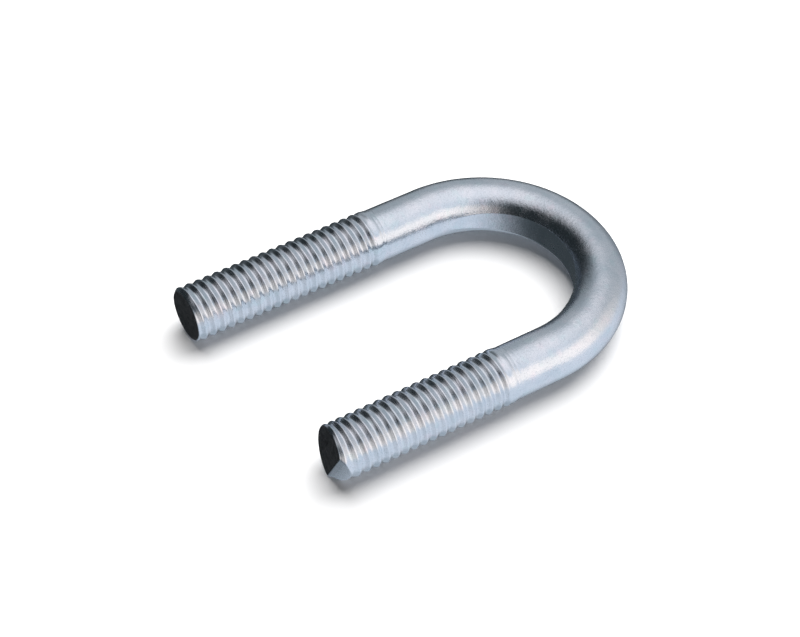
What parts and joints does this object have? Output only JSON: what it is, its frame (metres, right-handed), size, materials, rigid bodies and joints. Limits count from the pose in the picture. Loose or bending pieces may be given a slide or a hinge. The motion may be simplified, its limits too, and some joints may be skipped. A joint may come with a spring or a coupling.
{
  "type": "u-bolt",
  "caption": "Round-bend U-bolt: one zinc-plated steel bar bent into a U around a pipe, with a rolled right-hand thread on each leg and a pressed seat inside the bend.",
  "frame": {"origin": "on the axis of the clamped pipe, halfway up the bar; the centre of the bend itself is 0.46 mm nearer the legs", "axes": "+Z along the clamped pipe's axis, +Y from the legs towards the crown of the bend, so the threaded legs point along -Y; X runs across the legs, with the shorter leg at +X"},
  "size_m": [0.0392, 0.0567, 0.0078],
  "materials": {
    "zinc_plated_steel": "bright bluish-white electroplated zinc, satin on the bend, burnished on the thread crests"
  },
  "bodies": {
    "root": {"u_bolt": "zinc_plated_steel"}
  },
  "joints": []
}
